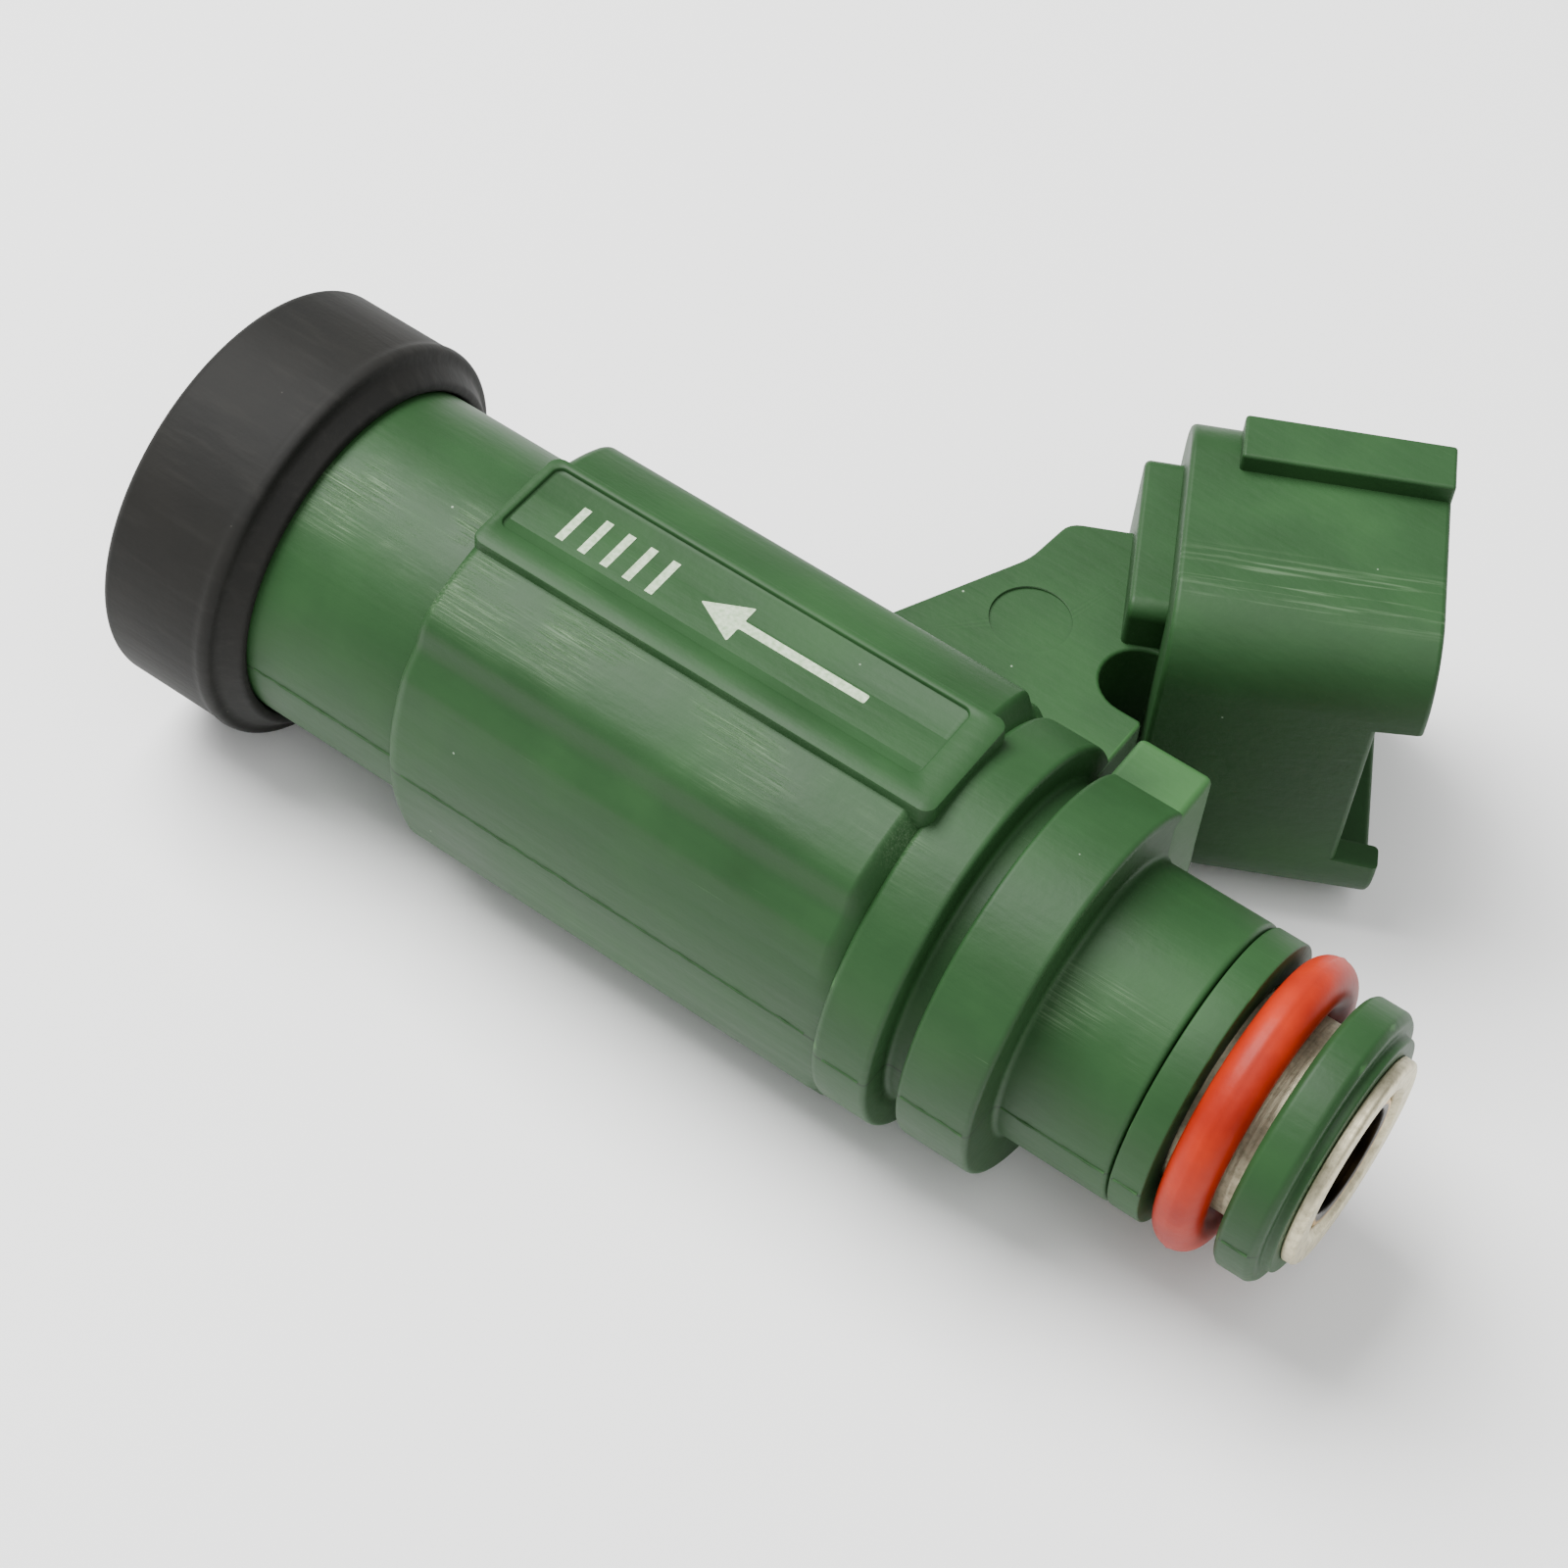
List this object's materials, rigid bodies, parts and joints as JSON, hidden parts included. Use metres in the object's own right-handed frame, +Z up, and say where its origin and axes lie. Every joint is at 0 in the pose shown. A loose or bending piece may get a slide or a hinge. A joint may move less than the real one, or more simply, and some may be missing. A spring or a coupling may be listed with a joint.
{
  "type": "fuel injector",
  "caption": "Top-feed fuel injector: moulded body with a slanted rectangular electrical connector, rubber nozzle insulator, sealing ring and steel inlet tube.",
  "frame": {"origin": "middle of the bottom of the box of the injector lying on its side", "axes": "+X along the injector's axis from the nozzle to the fuel inlet, +Y towards the connector's side, +Z up, normal to the mould's parting plane"},
  "size_m": [0.068, 0.046, 0.023],
  "materials": {
    "moulded_nylon": "moulded, slightly scuffed",
    "black_rubber": "matt moulded",
    "orange_rubber": "smooth moulded",
    "steel": "machined",
    "brass": "drawn",
    "copper": "enamelled wire",
    "tinned_copper": "tin plated",
    "natural_nylon": "moulded",
    "screen_nylon": "woven mesh"
  },
  "bodies": {
    "injector_body": {"moulded_housing": "moulded_nylon", "lower_insulator": "black_rubber", "backup_ring": "moulded_nylon", "inlet_o_ring": "orange_rubber", "o_ring_retainer": "moulded_nylon", "inlet_tube": "steel", "filter_collar": "brass", "filter_basket": "natural_nylon", "filter_screen": "screen_nylon", "adjuster_sleeve": "steel", "return_spring": "steel", "stop_spacer": "steel", "valve_body": "steel", "lower_seal": "black_rubber", "valve_seat": "steel", "orifice_plate": "steel", "plate_retainer": "steel", "magnetic_break_sleeve": "steel", "coil_bobbin": "natural_nylon", "coil_winding": "copper", "solenoid_can": "steel", "lower_flux_washer": "steel", "upper_flux_washer": "steel", "terminal_block": "natural_nylon", "terminal_a": "tinned_copper", "terminal_b": "tinned_copper", "coil_lead_a": "copper", "coil_lead_b": "copper"},
    "valve_needle": {"needle": "steel", "armature": "steel"}
  },
  "joints": [
    {"name": "valve_lift", "type": "slide", "parent": "injector_body", "child": "valve_needle", "axis": [1, 0, 0], "range_m": [0, 0.0001], "stiffness_N_per_m": 200, "springref_m": -0.0001}
  ]
}
